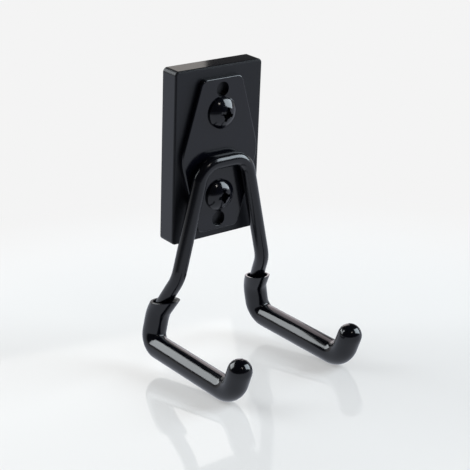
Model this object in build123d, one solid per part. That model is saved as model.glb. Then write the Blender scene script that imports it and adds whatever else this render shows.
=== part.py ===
from build123d import *
import math
import os

# Magnetic tool holder, in millimetres.
# The flat back of the magnet block lies in the plane Y = 0 and is centred on the origin.
# +Y points into the wall, -Y points out to the user, and +Z is up.

# Magnet block
block_width = 47.2
block_height = 80.2
block_depth = 9.6
block_corner_radius = 2.0
block_edge_radius = 1.0
case_side_wall = 1.6
case_front_wall = 1.5
pocket_corner_radius = 0.8

# Steel yoke plate inside the case
yoke_thickness = 2.5
yoke_side_gap = 0.3
yoke_corner_radius = 0.8

# Rear cover, whose ribs locate the magnets
cover_skin = 0.8
cover_side_gap = 0.1
cover_rim = 1.0
divider_rib = 1.0
bush_channel_width = 12.0

# Magnets, in two columns of three
magnet_rows = ("top", "middle", "bottom")
magnet_side_gap = 0.15
magnet_edge_chamfer = 0.4

# Screws, and the threaded bushes that they run into
screw_radius = 3.0
screw_length = 10.0
screw_point_chamfer = 0.6
screw_hole_radius = 3.4
thread_clearance = 0.05
head_radius = 7.3
head_height = 4.4
head_rim_height = 0.9
head_rim_radius = 0.35
recess_width = 6.6
recess_slot = 1.6
recess_depth = 2.9
recess_core_radius = 2.1
recess_core_taper = 10.0
recess_wing_taper = 5.0
upper_screw_turn = 16.0
lower_screw_turn = -5.0
bush_radius = 4.6
bush_flange_radius = 5.6
bush_flange_height = 1.2
bush_length = 5.4
bush_fit = 0.05

# Mounting plate
plate_thickness = 2.5
plate_height = 71.2
plate_centre_z = -0.4
plate_end_width = 21.6
plate_waist_width = 42.6
plate_waist_radius = 18.0
plate_corner_radius = 3.4
plate_edge_radius = 0.7
screw_hole_inset = 16.3
spare_hole_radius = 3.35
spare_hole_inset = 5.2
keyhole_neck_width = 2.6
hole_edge_radius = 0.35

# Hook, one bent rod welded to the plate, quarter inch stock under its paint
rod_radius = 3.3
weld_set_down = 0.12
weld_flat_reach = 0.6
hook_top_z = -2.1
hook_top_half_width = 11.85
hook_knee_x = 24.1
hook_knee_z = -54.0
hook_heel_x = 28.1
hook_heel_z = -72.6
hook_foot_x = 31.1
hook_foot_z = -88.0
prong_length = 60.9
prong_rise = 1.4
tip_forward = 4.3
tip_height = 12.45
shoulder_bend_radius = 9.4
knee_bend_radius = 15.7
heel_bend_radius = 13.0
foot_bend_radius = 6.4
tip_bend_radius = 9.9

# Grips
grip_radius = 5.5
grip_wall_gap = 0.2
grip_bore_clearance = 0.1
grip_mouth_z = -66.1
grip_mouth_radius = 6.0
grip_mouth_wall = 0.95
grip_mouth_tilt = 7.0
grip_flare_length = 3.8
grip_flare_overrun = 6.0
grip_lip_radius = 0.35

# Sizes that follow from the ones above
face_y = -block_depth
plate_face_y = face_y - plate_thickness
rod_y = plate_face_y - rod_radius + weld_set_down
low_rod_y = -grip_wall_gap - grip_radius
pocket_depth = block_depth - case_front_wall
pocket_width = block_width - 2 * case_side_wall
pocket_height = block_height - 2 * case_side_wall
yoke_front_y = -pocket_depth
yoke_back_y = yoke_front_y + yoke_thickness
magnet_front_y = yoke_back_y
magnet_back_y = -cover_skin
magnet_thickness = magnet_back_y - magnet_front_y
cover_width = pocket_width - 2 * cover_side_gap
cover_height = pocket_height - 2 * cover_side_gap
cell_width = (cover_width - 2 * cover_rim - bush_channel_width - 2 * divider_rib) / 2
row_count = len(magnet_rows)
cell_height = (cover_height - 2 * cover_rim - (row_count - 1) * divider_rib) / row_count
cell_x = bush_channel_width / 2 + divider_rib + cell_width / 2
cell_pitch = cell_height + divider_rib
magnet_width = cell_width - 2 * magnet_side_gap
magnet_height = cell_height - 2 * magnet_side_gap
screw_z = plate_height / 2 - screw_hole_inset
spare_hole_z = plate_height / 2 - spare_hole_inset


def facing_front(y, x=0.0, z=0.0):
    """A plane at depth y whose normal points out of the wall, with its local Y up."""
    return Plane(origin=(x, y, z), x_dir=(1, 0, 0), z_dir=(0, -1, 0))


def slab(width, height, y_back, y_front, corner, x=0.0, z=0.0):
    """A plate parallel to the wall, with rounded corners."""
    outline = Plane(origin=(x, y_back, z), x_dir=(1, 0, 0), z_dir=(0, -1, 0))
    return extrude(outline * RectangleRounded(width, height, corner), amount=y_back - y_front)


def disc(radius, y_back, y_front, x=0.0, z=0.0):
    """A cylinder whose axis runs along Y."""
    return extrude(facing_front(y_back, x, z) * Circle(radius), amount=y_back - y_front)


def front_edges(shape, y):
    """The edges that lie wholly in the plane at depth y."""
    return shape.edges().filter_by(lambda e: abs(e.bounding_box().min.Y - y) < 0.001
                                   and abs(e.bounding_box().max.Y - y) < 0.001)


def magnet_case():
    body = slab(block_width, block_height, 0, face_y, block_corner_radius)
    body = fillet(front_edges(body, face_y), block_edge_radius)
    body -= slab(pocket_width, pocket_height, 0, yoke_front_y, pocket_corner_radius)
    for z in (screw_z, -screw_z):
        body -= disc(screw_hole_radius, yoke_front_y, face_y, z=z)
    return body


def yoke_plate():
    width = pocket_width - 2 * yoke_side_gap
    height = pocket_height - 2 * yoke_side_gap
    plate = slab(width, height, yoke_back_y, yoke_front_y, yoke_corner_radius)
    for z in (screw_z, -screw_z):
        plate -= disc(bush_radius, yoke_back_y, yoke_front_y, z=z)
    return plate


def rear_cover():
    """A thin magnetic face with ribs that stand forward between the magnets."""
    cover = slab(cover_width, cover_height, 0, magnet_front_y, pocket_corner_radius - cover_side_gap)
    for side in (-1, 1):
        for row in range(row_count):
            z = cell_z(row)
            cover -= slab(cell_width, cell_height, magnet_back_y, magnet_front_y,
                          magnet_side_gap, side * cell_x, z)
    channel_height = cover_height - 2 * cover_rim
    cover -= slab(bush_channel_width, channel_height, magnet_back_y, magnet_front_y, magnet_side_gap)
    return cover


def cell_z(row):
    """Height of the middle of a row of magnets, row 0 being the top one."""
    return ((row_count - 1) / 2 - row) * cell_pitch


def magnet(side, row):
    centre = Location((side * cell_x, (magnet_front_y + magnet_back_y) / 2, cell_z(row)))
    block = Box(magnet_width, magnet_thickness, magnet_height)
    block = chamfer(block.edges().filter_by(Axis.Y), magnet_edge_chamfer)
    return centre * block


def threaded_bush(z):
    """A flanged bush pressed into the yoke plate from behind."""
    bush = disc(bush_radius - bush_fit, yoke_front_y + bush_length, yoke_front_y, z=z)
    bush += disc(bush_flange_radius, yoke_back_y + bush_flange_height, yoke_back_y, z=z)
    bush -= disc(screw_radius + thread_clearance, yoke_front_y + bush_length, yoke_front_y, z=z)
    return bush


def cross_recess(apex_y):
    """Four tapered wings about a conical core, all narrowing towards the bottom."""
    mouth = facing_front(apex_y)
    recess = extrude(mouth * Circle(recess_core_radius), amount=-recess_depth, taper=recess_core_taper)
    for turn in (0, 90):
        wing = mouth * Rot(0, 0, turn) * Rectangle(recess_width, recess_slot)
        recess += extrude(wing, amount=-recess_depth, taper=recess_wing_taper)
    return recess


def screw(z, turn):
    """A round-headed machine screw with a cross recess, its shank pointing into the wall."""
    seat = 0.0
    rim = head_rim_height
    top = head_height
    shank_end = -screw_length
    outline = [
        Line((0, shank_end), (screw_radius - screw_point_chamfer, shank_end)),
        Line((screw_radius - screw_point_chamfer, shank_end), (screw_radius, shank_end + screw_point_chamfer)),
        Line((screw_radius, shank_end + screw_point_chamfer), (screw_radius, seat)),
        Line((screw_radius, seat), (head_radius, seat)),
        Line((head_radius, seat), (head_radius, rim)),
        dome_arc(rim, top),
        Line((0, top), (0, shank_end)),
    ]
    turned = revolve(make_face(outline), Axis.Y)
    rim_edge = turned.edges().filter_by(lambda e: abs(e.bounding_box().max.Y - rim) < 0.001
                                        and abs(e.bounding_box().min.Y - rim) < 0.001)
    turned = fillet(rim_edge, head_rim_radius)
    # The outline was drawn about +Y; the head points out of the wall, which is -Y.
    body = Location((0, plate_face_y, z)) * Rot(180, 0, 0) * turned
    recess = Location((0, 0, z)) * Rot(0, turn, 0) * cross_recess(plate_face_y - head_height)
    return body - recess


def dome_arc(rim, top):
    """The arc of the domed head, from the rim to a level crown."""
    rise = top - rim
    radius = (head_radius ** 2 + rise ** 2) / (2 * rise)
    half = math.asin(head_radius / radius) / 2
    middle = (radius * math.sin(half), top - radius + radius * math.cos(half))
    return ThreePointArc((head_radius, rim), middle, (0, top))


def plate_outline():
    """The long six-sided outline, with its waist and its end corners rounded."""
    end = plate_end_width / 2
    waist = plate_waist_width / 2
    half = plate_height / 2
    points = [(end, half), (waist, 0), (end, -half), (-end, -half), (-waist, 0), (-end, half)]
    outline = make_face(Polyline(*points, close=True))
    waist_points = outline.vertices().filter_by(lambda v: abs(v.Y) < 0.001)
    outline = fillet(waist_points, plate_waist_radius)
    end_points = outline.vertices().filter_by(lambda v: abs(v.Y) > half - 0.001)
    return fillet(end_points, plate_corner_radius)


def mounting_plate():
    plate = extrude(facing_front(face_y, z=plate_centre_z) * plate_outline(), amount=plate_thickness)
    plate = fillet(front_edges(plate, plate_face_y), plate_edge_radius)
    holes = disc(screw_hole_radius, face_y, plate_face_y, z=screw_z)
    holes += disc(screw_hole_radius, face_y, plate_face_y, z=-screw_z)
    holes += disc(spare_hole_radius, face_y, plate_face_y, z=spare_hole_z + plate_centre_z)
    holes += disc(spare_hole_radius, face_y, plate_face_y, z=-spare_hole_z + plate_centre_z)
    # The lower spare hole is a keyhole, whose neck runs up to the lower screw's hole.
    neck_top = -screw_z
    neck_bottom = plate_centre_z - spare_hole_z
    neck_plane = facing_front(face_y, z=(neck_top + neck_bottom) / 2)
    neck = Rectangle(keyhole_neck_width, neck_top - neck_bottom)
    holes += extrude(neck_plane * neck, amount=plate_thickness)
    plate -= holes
    rims = front_edges(plate, plate_face_y).filter_by(GeomType.CIRCLE)
    rims = rims.filter_by(lambda e: e.radius < spare_hole_radius + hole_edge_radius and abs(e.center().X) < 0.5)
    return fillet(rims, hole_edge_radius)


def hook_points():
    """The corners of the right leg, from its shoulder to the end of the tip."""
    foot = (hook_foot_x, low_rod_y, hook_foot_z)
    prong_end = (hook_foot_x, low_rod_y - prong_length, hook_foot_z + prong_rise)
    tip_end = (hook_foot_x, prong_end[1] - tip_forward, prong_end[2] + tip_height)
    return [
        (hook_top_half_width, rod_y, hook_top_z),
        (hook_knee_x, rod_y, hook_knee_z),
        (hook_heel_x, low_rod_y, hook_heel_z),
        foot,
        prong_end,
        tip_end,
    ]


def bend_radii():
    return [shoulder_bend_radius, knee_bend_radius, heel_bend_radius, foot_bend_radius, tip_bend_radius]


def mirrored(point):
    return (-point[0], point[1], point[2])


def hook_rod():
    """The whole rod swept along its bends, with weld flats where it lies on the plate."""
    right = hook_points()
    left = [mirrored(point) for point in right]
    path = FilletPolyline(*(left[::-1] + right), radius=bend_radii()[::-1] + bend_radii())
    section = Plane(origin=path @ 0, z_dir=path % 0) * Circle(rod_radius)
    rod = sweep(section, path=path)
    # Only the stretch over the plate is flattened, so the cutter has the plate's own outline.
    flat = offset(plate_outline(), amount=weld_flat_reach)
    cutter = extrude(facing_front(face_y, z=plate_centre_z) * flat, amount=plate_thickness)
    return rod - cutter


def grip():
    """The right grip: a thick soft sleeve with a round closed end and a flared mouth."""
    corners = hook_points()
    knee, heel = corners[1:3]
    leg = (Vector(*heel) - Vector(*knee)).normalized()
    mouth_share = (knee[2] - grip_mouth_z) / (knee[2] - heel[2])
    mouth = Vector(*knee) + (Vector(*heel) - Vector(*knee)) * mouth_share
    start = mouth - leg * grip_flare_overrun
    path = FilletPolyline(start, *corners[2:], radius=bend_radii()[2:])
    start_plane = Plane(origin=start, z_dir=leg)
    outside = sweep(start_plane * Circle(grip_radius), path=path)
    outside += Location(corners[-1]) * Sphere(grip_radius)
    bore_radius = rod_radius + grip_bore_clearance
    bore = sweep(start_plane * Circle(bore_radius), path=path)
    # The flare widens steadily and runs on past the mouth, where a plane that rises to the front cuts it off.
    flare = grip_flare_length + grip_flare_overrun
    growth = flare / grip_flare_length
    outer_end = grip_radius + (grip_mouth_radius - grip_radius) * growth
    inner_end = bore_radius + (grip_mouth_radius - grip_mouth_wall - bore_radius) * growth
    flare_plane = Plane(origin=start + leg * flare / 2, z_dir=leg)
    outside += flare_plane * Cone(outer_end, grip_radius, flare)
    bore += flare_plane * Cone(inner_end, bore_radius, flare)
    sleeve = outside - bore
    tilt = math.radians(grip_mouth_tilt)
    cut = Plane(origin=mouth, x_dir=(1, 0, 0), z_dir=(0, math.sin(tilt), math.cos(tilt)))
    reach = 3 * outer_end
    sleeve -= cut * Box(reach, reach, flare, align=(Align.CENTER, Align.CENTER, Align.MIN))
    rim = sleeve.edges().filter_by(lambda e: abs(cut.to_local_coords(e.center()).Z) < 0.001)
    return fillet(rim, grip_lip_radius)


def build():
    parts = {
        "magnet_case": magnet_case(),
        "yoke_plate": yoke_plate(),
        "rear_cover": rear_cover(),
        "mounting_plate": mounting_plate(),
        "hook_rod": hook_rod(),
        "upper_threaded_bush": threaded_bush(screw_z),
        "lower_threaded_bush": threaded_bush(-screw_z),
        "upper_screw": screw(screw_z, upper_screw_turn),
        "lower_screw": screw(-screw_z, lower_screw_turn),
    }
    for row, row_name in enumerate(magnet_rows):
        parts[f"{row_name}_left_magnet"] = magnet(-1, row)
        parts[f"{row_name}_right_magnet"] = magnet(1, row)
    right_grip = grip()
    parts["right_grip"] = right_grip
    parts["left_grip"] = mirror(right_grip, about=Plane.YZ)
    return parts


os.makedirs("parts", exist_ok=True)
for name, shape in build().items():
    shape.label = name
    export_step(shape, f"parts/{name}.step")
    print(name, len(shape.solids()), round(shape.volume, 1))
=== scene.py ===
import math

import bpy
from mathutils import Matrix, Vector


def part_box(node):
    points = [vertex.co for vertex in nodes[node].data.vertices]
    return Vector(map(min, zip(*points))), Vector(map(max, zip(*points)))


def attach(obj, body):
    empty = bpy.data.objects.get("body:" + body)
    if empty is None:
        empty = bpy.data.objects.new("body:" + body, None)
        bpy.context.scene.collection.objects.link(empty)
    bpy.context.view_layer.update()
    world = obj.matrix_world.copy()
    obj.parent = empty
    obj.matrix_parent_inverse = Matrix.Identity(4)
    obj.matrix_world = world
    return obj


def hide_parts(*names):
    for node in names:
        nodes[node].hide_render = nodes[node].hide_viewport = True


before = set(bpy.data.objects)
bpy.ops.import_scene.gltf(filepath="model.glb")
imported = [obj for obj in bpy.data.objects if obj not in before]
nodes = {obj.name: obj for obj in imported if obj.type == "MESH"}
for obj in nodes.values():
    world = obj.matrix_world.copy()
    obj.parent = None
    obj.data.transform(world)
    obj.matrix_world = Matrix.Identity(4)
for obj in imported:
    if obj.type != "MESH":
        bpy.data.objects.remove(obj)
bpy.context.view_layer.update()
scene = bpy.context.scene
MM = 0.001

# Yoke plate and threaded bushes.
# A zinc plated steel plate closes the magnets' field inside the case, and two flanged bushes
# are pressed into it from behind for the screws. Both keep the fine lines of the rolled sheet.


class Wire:
    """An output of a node. Sums, differences and products of wires add Math nodes."""

    def __init__(self, tree, socket=None):
        self.tree = tree
        self.socket = socket

    def node(self, kind, settings=(), sockets=(), out=0):
        """Adds a node, sets it up, gives its sockets their values or links, and returns one output."""
        made = self.tree.nodes.new(kind)
        for key, value in dict(settings).items():
            setattr(made, key, value)
        for key, value in dict(sockets).items():
            if isinstance(value, Wire):
                self.tree.links.new(value.socket, made.inputs[key])
            else:
                made.inputs[key].default_value = value
        return Wire(self.tree, made.outputs[out]) if made.outputs else None

    def math(self, operation, *values):
        return self.node("ShaderNodeMath", {"operation": operation}, enumerate(values))

    def __add__(self, other):
        return self.math("ADD", self, other)

    def __radd__(self, other):
        return self.math("ADD", other, self)

    def __rsub__(self, other):
        return self.math("SUBTRACT", other, self)

    def __mul__(self, other):
        return self.math("MULTIPLY", self, other)

    def __rmul__(self, other):
        return self.math("MULTIPLY", other, self)

    def along(self, axis):
        """One component of a vector."""
        return self.node("ShaderNodeSeparateXYZ", sockets={"Vector": self}, out=axis)

    def place(self):
        """Object coordinates, in metres from the object's own origin."""
        return self.node("ShaderNodeTexCoord", out="Object")

    def noise(self, size, detail, place):
        """Soft noise from 0 to 1 whose spots are about this many millimetres across."""
        sockets = {"Vector": place, "Scale": 1 / (size * MM), "Detail": detail}
        return self.node("ShaderNodeTexNoise", sockets=sockets)

    def band(self, value, low, high):
        """Runs from 0 at low to 1 at high, smoothly."""
        settings = {"interpolation_type": "SMOOTHSTEP"}
        sockets = {"Value": value, "From Min": low, "From Max": high}
        return self.node("ShaderNodeMapRange", settings, sockets)

    def blend(self, share, first, second):
        """A colour between two, by share."""
        settings = {"data_type": "RGBA"}
        return self.node("ShaderNodeMix", settings, {0: share, 6: first, 7: second}, out=2)

    def bump(self, height, depth):
        """The normal of a relief this many millimetres deep."""
        sockets = {"Height": height, "Distance": depth * MM, "Strength": 1.0}
        return self.node("ShaderNodeBump", sockets=sockets)


def new_finish(name):
    """An empty material and the wire that starts its nodes."""
    finish = bpy.data.materials.new(name)
    finish.use_nodes = True
    finish.node_tree.nodes.clear()
    return finish, Wire(finish.node_tree)


def close_finish(graph, sockets):
    """Ends a material in one surface shader."""
    surface = graph.node("ShaderNodeBsdfPrincipled", sockets=sockets)
    graph.node("ShaderNodeOutputMaterial", sockets={"Surface": surface})


def dress(finish, *names):
    """Gives a finish to nodes of the CAD model."""
    for name in names:
        for slot in nodes[name].material_slots:
            slot.material = finish


dull_zinc = (0.52, 0.53, 0.55, 1)
clear_zinc = (0.68, 0.68, 0.68, 1)
rolling_squeeze = (1, 1, 14)

zinc, graph = new_finish("bright_zinc")
place = graph.place()
rolled = graph.node("ShaderNodeMapping", sockets={"Vector": place, "Scale": rolling_squeeze})
lines = graph.noise(9.0, 6, rolled)
spangle = graph.noise(2.4, 1, place)
close_finish(graph, {
    "Base Color": graph.blend(spangle, dull_zinc, clear_zinc),
    "Metallic": 1.0,
    "Roughness": 0.24 + 0.22 * lines,
    "Normal": graph.bump(lines, 0.01),
})
dress(zinc, "yoke_plate", "upper_threaded_bush", "lower_threaded_bush")

# Magnets.
# Six sintered blocks in two columns stand against the yoke plate. They are dull and dark grey,
# a little mottled, with the fine grain of pressed powder.

dark_ferrite = (0.085, 0.085, 0.08755, 1)
pale_ferrite = (0.14, 0.14, 0.1442, 1)

ferrite, graph = new_finish("sintered_magnet")
place = graph.place()
grain = graph.noise(0.5, 4, place)
mottle = graph.noise(6.0, 2, place)
close_finish(graph, {
    "Base Color": graph.blend(mottle, dark_ferrite, pale_ferrite),
    "Roughness": 0.55 + 0.2 * grain,
    "Normal": graph.bump(grain, 0.03),
})
for row in ("top", "middle", "bottom"):
    dress(ferrite, row + "_left_magnet", row + "_right_magnet")

# Rear cover.
# A thin moulded sheet with ribs closes the case and is the face that grips the wall. It is
# matt black plastic with a fine sparked texture, in places rubbed smoother.


def black(value):
    """A black that leans to blue, as all the coats and mouldings here do."""
    return (value, value * 1.15, value * 2.4, 1)


cover_plastic, graph = new_finish("cover_plastic")
place = graph.place()
sparked = graph.noise(0.28, 3, place)
rubs = graph.noise(11.0, 5, place)
close_finish(graph, {
    "Base Color": graph.blend(rubs, black(0.006), black(0.012)),
    "Roughness": 0.62 - 0.2 * rubs,
    "Normal": graph.bump(sparked, 0.012),
})
dress(cover_plastic, "rear_cover")

# Magnet case.
# The moulded case of the magnet block, in satin black plastic. Its front has a fine sparked
# texture. Its narrow sides are smoother, as the mould's steel left them, and its edges duller.


def fourth_power(wire):
    square = wire * wire
    return square * square


case_plastic, graph = new_finish("case_plastic")
place = graph.place()
facing = graph.node("ShaderNodeNewGeometry", out="Normal")
turn_x, turn_y, turn_z = (facing.along(axis) for axis in "XYZ")
front = graph.band(turn_y * -1.0, 0.5, 0.95)
# This is 1 where the surface faces along an axis, and less on the rounded edges.
squareness = fourth_power(turn_x) + fourth_power(turn_y) + fourth_power(turn_z)
edge = 1 - graph.band(squareness, 0.8, 0.99)
sparked = graph.noise(0.3, 3, place)
cloud = graph.noise(14.0, 3, place)
close_finish(graph, {
    "Base Color": graph.blend(cloud, black(0.0012), black(0.0026)),
    "Roughness": 0.055 + 0.33 * front + 0.4 * edge + 0.03 * cloud,
    "IOR": 1.44,
    "Normal": graph.bump(sparked * (0.1 + 0.9 * front), 0.0015),
})
dress(case_plastic, "magnet_case")

# Mounting plate.
# A punched steel plate with rounded edges, powder coated satin black. The coat has a faint
# orange peel, and its gloss varies a little from place to place.

plate_paint, graph = new_finish("plate_powder_coat")
place = graph.place()
peel = graph.noise(1.6, 2, place)
dapple = graph.noise(9.0, 3, place)
close_finish(graph, {
    "Base Color": graph.blend(dapple, black(0.0014), black(0.003)),
    "Roughness": 0.13 + 0.05 * dapple,
    "Normal": graph.bump(peel, 0.012),
})
dress(plate_paint, "mounting_plate")

# Hook rod.
# One bent steel rod welded to the plate, in a satin black powder coat whose orange peel is
# broader than the plate's.

rod_paint, graph = new_finish("rod_powder_coat")
place = graph.place()
peel = graph.noise(2.2, 2, place)
dapple = graph.noise(12.0, 3, place)
close_finish(graph, {
    "Base Color": graph.blend(dapple, black(0.001), black(0.0022)),
    "Roughness": 0.15 + 0.05 * dapple,
    "Normal": graph.bump(peel, 0.012),
})
dress(rod_paint, "hook_rod")

# Screws.
# Two round-headed machine screws with cross recesses, in a gloss black finish over steel.
# The dome shows faint turning marks about the screw's own axis.

ring_pitch = 0.8
for name in ("upper_screw", "lower_screw"):
    low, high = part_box(name)
    centre = (low + high) / 2
    screw_black, graph = new_finish(name + "_black")
    place = graph.place()
    spot = graph.node("ShaderNodeMapping", sockets={"Vector": place, "Location": (0, 0, -centre.z)})
    apart, up = spot.along("X"), spot.along("Z")
    reach = graph.math("SQRT", apart * apart + up * up)
    rings = graph.math("SINE", reach * (2 * math.pi / (ring_pitch * MM)))
    handled = graph.noise(3.0, 4, place)
    close_finish(graph, {
        "Base Color": graph.blend(handled, black(0.001), black(0.003)),
        "Roughness": 0.09 + 0.08 * handled,
        "Normal": graph.bump(rings, 0.002),
    })
    dress(screw_black, name)

# Grips.
# Soft vinyl sleeves pushed over the prongs up to the bend above them, gloss black. Each has a
# dipped round end, and the bent rod has opened its mouth, which is cut off at a slight tilt.

grip_radius = 5.5
grip_wall = 1.9
mouth_wall = 1.1
mouth_z = -66.35
mouth_tilt = math.radians(12.0)
mouth_lean = math.radians(1.5)
mouth_run_out = 7.0
flare_growth = 0.05
lip_round = 0.3
lip_segments = 3
unevenness = 0.09
unevenness_size = 11.0
# Corners and bends of the rod's centre line on the right.
knee = Vector((24.1, -15.28, -54.0)) * MM
heel = Vector((28.1, -5.7, -72.6)) * MM
foot = Vector((31.1, -5.7, -88.0)) * MM
prong_end = Vector((31.1, -66.6, -86.6)) * MM
tip_end = Vector((31.1, -70.9, -74.15)) * MM
heel_bend = 16.0 * MM
foot_bend = 6.4 * MM
tip_bend = 9.9 * MM
# How finely the sleeve's skin is divided.
ring_points = 56
heel_steps = 5
foot_steps = 24
prong_rings = 24
tip_steps = 20
rise_rings = 3
dome_rings = 9
weld_distance = 0.001
sharp_from = math.radians(50)


def reach_of_bend(before, corner, after, radius):
    """How far a rounded corner reaches along its two runs."""
    turn = (corner - before).angle(after - corner)
    return radius * math.tan(turn / 2)


def centre_of_bend(before, corner, after, radius):
    """The point that a rounded corner bends around."""
    inward = (corner - before).normalized()
    outward = (after - corner).normalized()
    return corner + (outward - inward).normalized() * radius / math.cos(inward.angle(outward) / 2)


def push(step, share=1.0, centre=None):
    """Extrudes the selected ring by a step, and then scales it about a centre."""
    bpy.ops.mesh.extrude_region_move(TRANSFORM_OT_translate={"value": step})
    if centre is not None:
        bpy.ops.transform.resize(value=(share, share, share), center_override=centre)


def spin_round(before, corner, after, radius, steps, skipped=0):
    """Spins the selected ring round a corner, less the first steps where it is there already."""
    turn = (corner - before).angle(after - corner) * (1 - skipped / steps)
    bpy.ops.mesh.spin(steps=steps - skipped, angle=turn,
                      center=centre_of_bend(before, corner, after, radius),
                      axis=(after - corner).cross(corner - before))


down = (heel - knee).normalized()
mouth = knee + (heel - knee) * ((knee.z - mouth_z * MM) / (knee.z - heel.z))
heel_reach = reach_of_bend(knee, heel, foot, heel_bend)
foot_reach = reach_of_bend(heel, foot, prong_end, foot_bend)
tip_reach = reach_of_bend(foot, prong_end, tip_end, tip_bend)

# The first ring lies one step into the bend, below the lowest point of the mouth.
bend_centre = centre_of_bend(knee, heel, foot, heel_bend)
first_turn = Matrix.Rotation(down.angle(foot - heel) / heel_steps, 3, down.cross(foot - heel))
first_centre = bend_centre + first_turn @ (heel - down * heel_reach - bend_centre)
radius = grip_radius * MM
bpy.ops.object.select_all(action="DESELECT")
bpy.ops.mesh.primitive_circle_add(vertices=ring_points, radius=radius, location=first_centre,
                                  rotation=(first_turn @ down).to_track_quat("Z", "Y").to_euler())
right_sleeve = bpy.context.object
right_sleeve.name = "right_sleeve"
bpy.ops.object.transform_apply(location=True, rotation=True, scale=True)
bpy.ops.object.mode_set(mode="EDIT")
bpy.ops.mesh.select_all(action="SELECT")
spin_round(knee, heel, foot, heel_bend, heel_steps, skipped=1)
shin = (foot - heel).normalized()
push(shin * ((foot - heel).length - heel_reach - foot_reach))
spin_round(heel, foot, prong_end, foot_bend, foot_steps)
prong = (prong_end - foot).normalized()
for _ in range(prong_rings):
    push(prong * (((prong_end - foot).length - foot_reach - tip_reach) / prong_rings))
spin_round(foot, prong_end, tip_end, tip_bend, tip_steps)
rise = (tip_end - prong_end).normalized()
for _ in range(rise_rings):
    push(rise * (((tip_end - prong_end).length - tip_reach) / rise_rings))

# The round end narrows ring by ring, up to a point.
for ring in range(1, dome_rings):
    last_angle = math.radians(90 * (ring - 1) / dome_rings)
    angle = math.radians(90 * ring / dome_rings)
    push(rise * radius * (math.sin(angle) - math.sin(last_angle)),
         math.cos(angle) / math.cos(last_angle),
         tip_end + rise * radius * math.sin(angle))
push(rise * radius * (1 - math.sin(angle)))
bpy.ops.mesh.merge(type="CENTER")

# The first ring is drawn up past the mouth and widened.
flare = mouth - down * mouth_run_out * MM - first_centre
bpy.ops.mesh.select_mode(type="EDGE")
bpy.ops.mesh.select_all(action="DESELECT")
bpy.ops.mesh.select_non_manifold()
push(flare, 1 + flare_growth * flare.length / radius, first_centre + flare)
bpy.ops.mesh.select_all(action="SELECT")
bpy.ops.mesh.remove_doubles(threshold=weld_distance * MM)
bpy.ops.mesh.normals_make_consistent(inside=False)
bpy.ops.object.mode_set(mode="OBJECT")

# The skin is a little uneven, and the wall is thin from the first ring upwards. No other ring
# comes as near to the first one's centre.
first_ring_reach = 1.01 * radius
skin = bpy.data.textures.new("slow_unevenness", "CLOUDS")
skin.noise_scale = unevenness_size * MM
ripple = right_sleeve.modifiers.new("ripple", "DISPLACE")
ripple.texture = skin
ripple.texture_coords = "LOCAL"
ripple.strength = unevenness * MM
ripple.mid_level = 0.5
walls = right_sleeve.vertex_groups.new(name="wall")
for vertex in right_sleeve.data.vertices:
    in_first_ring = (vertex.co - first_centre).length < first_ring_reach
    thin = in_first_ring or vertex.co.z > mouth.z
    walls.add([vertex.index], mouth_wall / grip_wall if thin else 1.0, "REPLACE")
wall = right_sleeve.modifiers.new("wall", "SOLIDIFY")
wall.thickness = grip_wall * MM
wall.offset = -1
wall.use_rim = False
wall.vertex_group = "wall"
for modifier in ("ripple", "wall"):
    bpy.ops.object.modifier_apply(modifier=modifier)

# The mouth is cut off, its two edges are joined by a rim, and the rim's edges are rounded.
mouth_normal = Vector((math.sin(mouth_lean),
                       math.cos(mouth_lean) * math.sin(mouth_tilt),
                       math.cos(mouth_lean) * math.cos(mouth_tilt)))
bpy.ops.object.mode_set(mode="EDIT")
bpy.ops.mesh.select_all(action="SELECT")
bpy.ops.mesh.bisect(plane_co=mouth, plane_no=mouth_normal, clear_outer=True)
bpy.ops.mesh.select_all(action="DESELECT")
bpy.ops.mesh.select_non_manifold()
bpy.ops.mesh.bridge_edge_loops()
bpy.ops.mesh.region_to_loop()
bpy.ops.mesh.bevel(offset=lip_round * MM, segments=lip_segments, affect="EDGES")
bpy.ops.mesh.select_all(action="SELECT")
bpy.ops.mesh.normals_make_consistent(inside=False)
bpy.ops.object.mode_set(mode="OBJECT")
bpy.ops.object.shade_smooth_by_angle(angle=sharp_from)

# The left sleeve is a mirrored copy.
bpy.ops.object.duplicate()
left_sleeve = bpy.context.object
left_sleeve.name = "left_sleeve"
bpy.ops.object.mode_set(mode="EDIT")
bpy.ops.mesh.select_all(action="SELECT")
bpy.ops.transform.resize(value=(-1, 1, 1), center_override=(0, 0, 0))
bpy.ops.mesh.flip_normals()
bpy.ops.object.mode_set(mode="OBJECT")

vinyl, graph = new_finish("gloss_vinyl")
place = graph.place()
slow = graph.noise(7.0, 1, place)
fine = graph.noise(0.9, 2, place)
close_finish(graph, {
    "Base Color": graph.blend(slow, black(0.001), black(0.002)),
    "Roughness": 0.11 + 0.06 * fine,
    "Normal": graph.bump(slow, 0.02),
})
for sleeve, node in ((left_sleeve, "left_grip"), (right_sleeve, "right_grip")):
    sleeve.data.materials.append(vinyl)
    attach(sleeve, "root")
    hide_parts(node)

# Floor and background.
# A white acrylic board that the holder stands on with the tips of its prongs, leaning forward,
# so the board is tilted under it. Away from the holder it turns into the plain pale background.

floor_tilt = math.radians(7.07)
floor_gap = 0.1
floor_radius = 2.6
floor_edge_points = 96
backdrop_grey = 0.905
acrylic_white = (0.82, 0.815, 0.80, 1)
acrylic_share = 0.6
acrylic_fades_from = 0.16
acrylic_gone_at = 0.3
# The holder's gloss mirrors the board as a plain light: paler at the left rear, and darkest far
# off at the left front. The ranges are in metres along the two directions.
front_grey = 0.72
back_grey = 0.88
mirrored_tint = (0.84, 0.89, 1.0, 1)
towards_left_rear = (-0.62, 0.78, 0)
rear_range = (-0.15, 0.3)
towards_left_front = (-0.62, -0.78, 0)
front_range = (0.25, 0.55)
dark_share = 0.85

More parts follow.
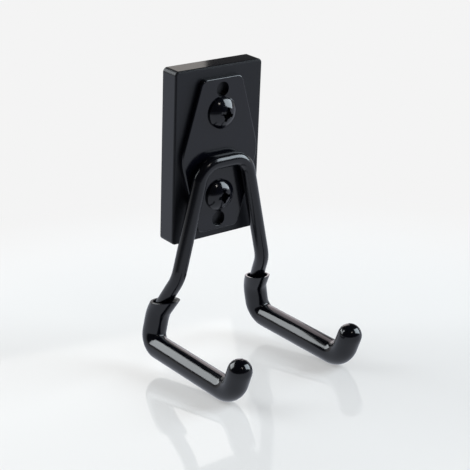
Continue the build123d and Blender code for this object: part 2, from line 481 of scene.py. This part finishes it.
floor_normal = Vector((0, math.sin(floor_tilt), math.cos(floor_tilt)))
lowest = min(floor_normal.dot(v.co) for v in nodes["left_grip"].data.vertices)
bpy.ops.object.select_all(action="DESELECT")
bpy.ops.mesh.primitive_circle_add(vertices=floor_edge_points, radius=floor_radius, fill_type="NGON",
                                  location=floor_normal * (lowest - floor_gap * MM),
                                  rotation=(-floor_tilt, 0, 0))
floor = bpy.context.object
floor.name = "floor"
bpy.ops.object.transform_apply(location=True, rotation=True, scale=True)

board, graph = new_finish("white_acrylic")
place = graph.place()
seen = graph.node("ShaderNodeLightPath", out="Is Camera Ray")
spread = graph.node("ShaderNodeVectorMath", {"operation": "LENGTH"}, {0: place}, out="Value")
faded = graph.band(spread, acrylic_fades_from, acrylic_gone_at)
plain_share = 1 - seen * (acrylic_share - acrylic_share * faded)
rearward = graph.node("ShaderNodeVectorMath", {"operation": "DOT_PRODUCT"},
                      {0: place, 1: towards_left_rear}, out="Value")
frontward = graph.node("ShaderNodeVectorMath", {"operation": "DOT_PRODUCT"},
                       {0: place, 1: towards_left_front}, out="Value")
mirrored = front_grey + (back_grey - front_grey) * graph.band(rearward, *rear_range)
mirrored = mirrored * (1 - dark_share * graph.band(frontward, *front_range))
acrylic = graph.node("ShaderNodeBsdfPrincipled", sockets={
    "Base Color": acrylic_white,
    "Roughness": 0.05,
    "IOR": 1.6,
})
plain = graph.node("ShaderNodeEmission", sockets={
    "Color": graph.blend(seen, mirrored_tint, (1, 1, 1, 1)),
    "Strength": seen * backdrop_grey + (1 - seen) * mirrored,
})
shown = graph.node("ShaderNodeMixShader", sockets={0: plain_share, 1: acrylic, 2: plain})
graph.node("ShaderNodeOutputMaterial", sockets={"Surface": shown})
floor.data.materials.append(board)

# The room that the gloss mirrors is dim above and pale below a horizon that is tilted a little.
room_grey = 0.035
horizon_glow = 0.5
room_up = (-0.10, -0.13, 1.0)
glow_range = (-0.02, 0.12)

world = bpy.data.worlds.new("studio")
scene.world = world
world.use_nodes = True
world.node_tree.nodes.clear()
graph = Wire(world.node_tree)
seen = graph.node("ShaderNodeLightPath", out="Is Camera Ray")
looked = graph.node("ShaderNodeTexCoord", out="Generated")
climb = graph.node("ShaderNodeVectorMath", {"operation": "DOT_PRODUCT"},
                   {0: looked, 1: room_up}, out="Value")
room = room_grey + horizon_glow * (1 - graph.band(climb, *glow_range))
strength = seen * backdrop_grey + (1 - seen) * room
sky = graph.node("ShaderNodeBackground", sockets={"Color": (1, 1, 1, 1), "Strength": strength})
graph.node("ShaderNodeOutputWorld", sockets={"Surface": sky})

# Studio lights.
# Two large soft boxes, one behind on the left and one in front on the right, a small lamp above
# the camera and a warm panel behind the block. A card and a far wall light one thing each.

aim = Vector((0, -30, -45)) * MM
lamp_distance = 1.1
card_distance = 0.168
wall_distance = 1.6
cool_white = (0.92, 0.97, 1.0)
cooler_white = (0.82, 0.92, 1.0)
lamp_white = (1.0, 0.94, 0.88)
warm_white = (1.0, 0.95, 0.90)
rosy_white = (1.0, 0.90, 0.94)
plain_white = (1.0, 1.0, 1.0)


def soft_box(name, azimuth, elevation, distance, width, height, level, tint, turn=0):
    """A rectangular light. Azimuth 0 is in front and 90 to the right, and turn spins it in its own
    plane. All the angles are in degrees, width and height as the holder sees them."""
    a, e = math.radians(azimuth), math.radians(elevation)
    away = Vector((math.sin(a) * math.cos(e), -math.cos(a) * math.cos(e), math.sin(e)))
    lamp = bpy.data.lights.new(name, "AREA")
    lamp.shape = "RECTANGLE"
    lamp.size = 2 * distance * math.tan(math.radians(width / 2))
    lamp.size_y = 2 * distance * math.tan(math.radians(height / 2))
    lamp.energy = level * math.pi * lamp.size * lamp.size_y
    lamp.color = tint
    stand = bpy.data.objects.new(name, lamp)
    scene.collection.objects.link(stand)
    stand.location = aim + away * distance
    facing = (-away).to_track_quat("-Z", "Y").to_matrix()
    stand.rotation_euler = (facing @ Matrix.Rotation(math.radians(turn), 3, "Z")).to_euler()
    stand.visible_camera = False
    return stand


def light_only(lamp, *pieces):
    """Keeps a lamp to some pieces, as a screen beside it would."""
    lit = bpy.data.collections.new(lamp.name + "_lit")
    for piece in pieces:
        lit.objects.link(piece)
    lamp.light_linking.receiver_collection = lit


soft_box("left_soft_box", -148, 26.5, lamp_distance, 44, 33, 6.0, cool_white)
soft_box("right_soft_box", 61, 30, lamp_distance, 47, 33, 7.5, cooler_white, turn=-40)
soft_box("small_lamp", -8, 50, lamp_distance, 7, 5, 12.0, lamp_white)
soft_box("warm_panel", 158.5, 19, lamp_distance, 27, 16, 0.85, warm_white)
low_card = soft_box("low_card", 138.2, 13.7, card_distance, 27.4, 50.8, 1.4, rosy_white)
far_wall = soft_box("far_wall", 142, 26, wall_distance, 70, 46, 0.85, plain_white)
light_only(low_card, left_sleeve, right_sleeve)
light_only(far_wall, floor)

# Camera.
# It looks down on the holder from the front left, through a long lens, and is rolled a little.

camera_azimuth = math.radians(-38.30)
camera_elevation = math.radians(22.14)
camera_roll = math.radians(2.22)
camera_distance = 658.4 * MM
camera_target = Vector((19.48, 0, -47.50)) * MM
camera_lens = 106.6
nearest_seen = 0.05
farthest_seen = 20

back = Vector((math.sin(camera_azimuth) * math.cos(camera_elevation),
               -math.cos(camera_azimuth) * math.cos(camera_elevation),
               math.sin(camera_elevation)))
level_right = Vector((math.cos(camera_azimuth), math.sin(camera_azimuth), 0))
level_up = back.cross(level_right)
right = math.cos(camera_roll) * level_right + math.sin(camera_roll) * level_up
up = math.cos(camera_roll) * level_up - math.sin(camera_roll) * level_right
camera_data = bpy.data.cameras.new("camera")
camera_data.lens = camera_lens
camera_data.clip_start = nearest_seen
camera_data.clip_end = farthest_seen
camera = bpy.data.objects.new("camera", camera_data)
scene.collection.objects.link(camera)
pose = Matrix((right, up, back)).transposed().to_4x4()
pose.translation = camera_target + back * camera_distance
camera.matrix_world = pose
scene.camera = camera

scene.view_settings.view_transform = "Standard"
